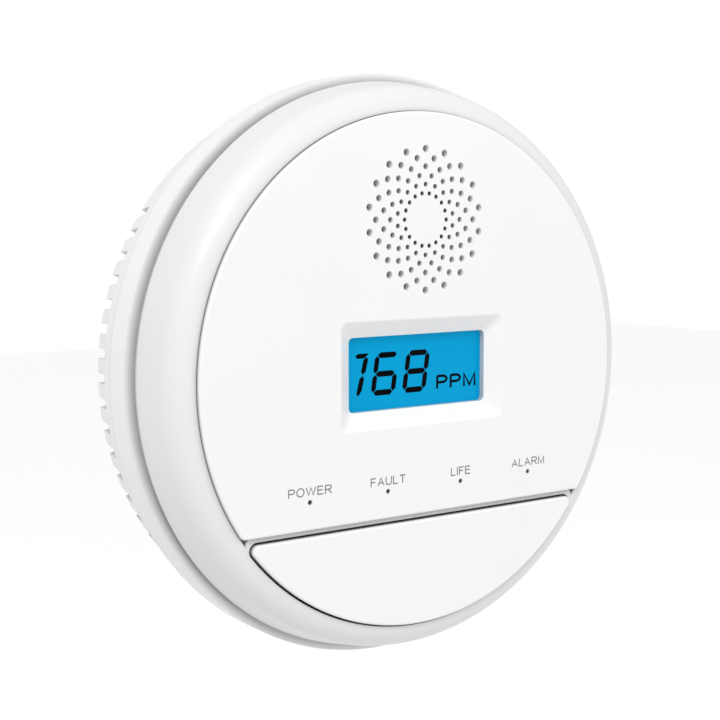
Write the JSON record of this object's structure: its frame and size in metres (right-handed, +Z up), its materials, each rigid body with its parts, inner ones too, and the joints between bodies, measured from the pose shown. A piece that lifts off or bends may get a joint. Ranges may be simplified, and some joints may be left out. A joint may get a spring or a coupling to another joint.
{
  "type": "carbon monoxide detector",
  "caption": "Round white wall-mounted gas alarm with a small display, a sounder grille, indicator lights and a wide test button.",
  "frame": {"origin": "centre of the wall plane behind the detector, on the axis of the round case", "axes": "+Z up the wall, +X to the right seen from the front, -Y straight out of the wall through the front panel"},
  "size_m": [0.105, 0.0282, 0.105],
  "materials": {
    "case_plastic": "satin moulded white",
    "panel_plastic": "fine matte white",
    "bracket_plastic": "matte off-white",
    "inner_plastic": "matte natural white",
    "clear_plastic": "clear moulded",
    "black_plastic": "matte black",
    "dust_cloth": "fine grey cloth",
    "display_glass": "polished blue-lit glass",
    "circuit_board": "glossy green solder mask",
    "plated_metal": "bright tin plate",
    "aluminium_can": "drawn aluminium",
    "ferrite": "sintered dark grey",
    "brass": "rolled",
    "ceramic": "fired, with a silvered face",
    "red_wire": "smooth insulation",
    "led_body": "clear resin",
    "blank_label": "matte foil sticker, blank",
    "cell_sleeve": "printed sleeve, plain",
    "spring_steel": "bright wire",
    "screw_steel": "zinc plated"
  },
  "bodies": {
    "mount": {"mounting_plate": "bracket_plastic"},
    "detector": {"rear_housing": "case_plastic", "front_cover": "case_plastic", "face_plate": "panel_plastic", "speaker_cloth": "dust_cloth", "lcd_glass": "display_glass", "lcd_light_guide": "clear_plastic", "lcd_holder": "inner_plastic", "lcd_pins": "plated_metal", "light_pipes": "clear_plastic", "indicator_leds": "led_body", "main_board": "circuit_board", "controller_chip": "black_plastic", "controller_legs": "plated_metal", "board_resistors": "black_plastic", "board_capacitors": "aluminium_can", "step_up_coil": "ferrite", "sounder_case": "black_plastic", "piezo_plate": "brass", "piezo_ceramic": "ceramic", "sounder_leads": "red_wire", "sensor_can": "aluminium_can", "sensor_cap": "inner_plastic", "sensor_pins": "brass", "sensor_screen": "dust_cloth", "switch_body": "black_plastic", "battery_cells": "cell_sleeve", "battery_springs": "spring_steel", "battery_contacts": "plated_metal", "case_screws": "screw_steel", "board_screws": "screw_steel"},
    "button": {"test_button": "panel_plastic"},
    "plunger": {"switch_plunger": "black_plastic"},
    "door": {"battery_door": "bracket_plastic", "rating_label": "blank_label"}
  },
  "joints": [
    {"name": "detector_twist", "type": "hinge", "parent": "mount", "child": "detector", "pos_m": [0, 0, 0], "axis": [0, -1, 0], "range_deg": [0, 15]},
    {"name": "button_press", "type": "hinge", "parent": "detector", "child": "button", "pos_m": [0, -0.0248, -0.0289], "axis": [1, 0, 0], "range_deg": [0, 2], "stiffness_Nm_per_rad": 0.3},
    {"name": "plunger_press", "type": "slide", "parent": "detector", "child": "plunger", "axis": [0, 1, 0], "range_m": [0, 0.00034]},
    {"name": "door_swing", "type": "hinge", "parent": "detector", "child": "door", "pos_m": [0, -0.003, 0.0156], "axis": [1, 0, 0], "range_deg": [0, 90]}
  ],
  "couplings": [
    {"joint": "plunger_press", "follows": "button_press", "m_per_rad": 0.009}
  ]
}
